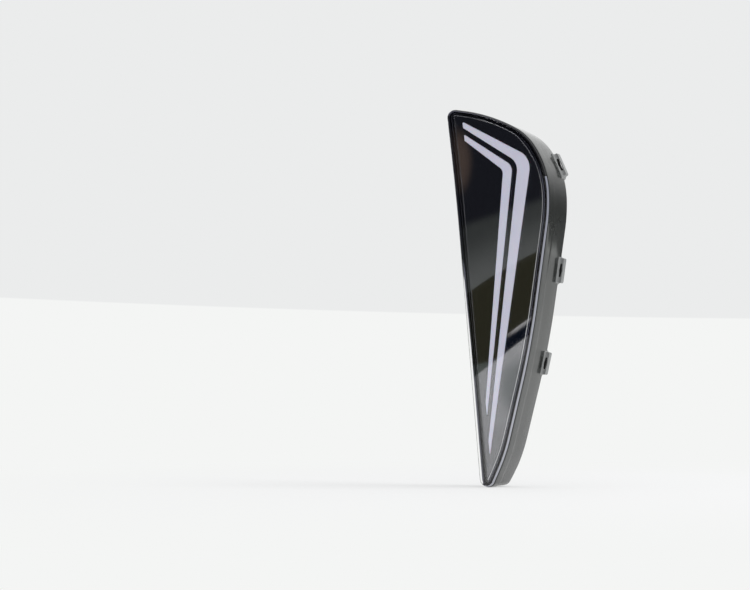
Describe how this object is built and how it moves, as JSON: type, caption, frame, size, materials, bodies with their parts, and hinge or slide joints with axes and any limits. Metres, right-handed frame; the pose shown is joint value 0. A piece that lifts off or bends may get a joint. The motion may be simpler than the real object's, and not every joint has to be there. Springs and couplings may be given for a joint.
{
  "type": "daytime running light",
  "caption": "Slim wedge-shaped running light: clear lens over a gloss black bezel with opal light bars, in a moulded housing with snap loops, rear screw bosses and a sealed inlet.",
  "frame": {"origin": "midpoint between the two rear screw bosses, on the plane of their seats", "axes": "+X across the lamp towards the curved side with the snap loops, +Y from the lens to the rear, +Z from the pointed tip to the wide end"},
  "size_m": [0.1065, 0.051, 0.3454],
  "materials": {
    "housing_plastic": "satin black moulded plastic with a fine grain",
    "lens_plastic": "clear polished plastic",
    "sealant": "black sealant",
    "bezel_plastic": "polished black plastic",
    "diffuser": "opal plastic with a faint lavender tint",
    "tray_plastic": "white moulded plastic",
    "light_board": "white solder resist",
    "diode": "yellow phosphor",
    "pad_rubber": "soft grey-blue pad",
    "spreader_metal": "plain sheet",
    "screw_steel": "zinc-plated",
    "driver_board": "green solder resist",
    "component_plastic": "black moulded body",
    "can_metal": "plain can",
    "contact_metal": "plain contact",
    "socket_plastic": "black moulded plastic",
    "seal_rubber": "black rubber",
    "membrane": "white breather film"
  },
  "bodies": {
    "root": {"housing": "housing_plastic", "lens": "lens_plastic", "lens_seal": "sealant", "bezel": "bezel_plastic", "outer_light_bar": "diffuser", "inner_light_bar": "diffuser", "reflector_tray": "tray_plastic", "led_board": "light_board", "outer_leds": "diode", "inner_leds": "diode", "thermal_pad": "pad_rubber", "heat_spreader": "spreader_metal", "module_screws": "screw_steel", "board_link": "component_plastic", "driver_board": "driver_board", "driver_chip": "component_plastic", "driver_coil": "component_plastic", "driver_capacitors": "can_metal", "driver_resistors": "component_plastic", "driver_screws": "screw_steel", "socket_shell": "socket_plastic", "socket_pins": "contact_metal", "socket_gasket": "seal_rubber", "socket_screws": "screw_steel", "vent_cap": "seal_rubber", "vent_membrane": "membrane"}
  },
  "joints": []
}
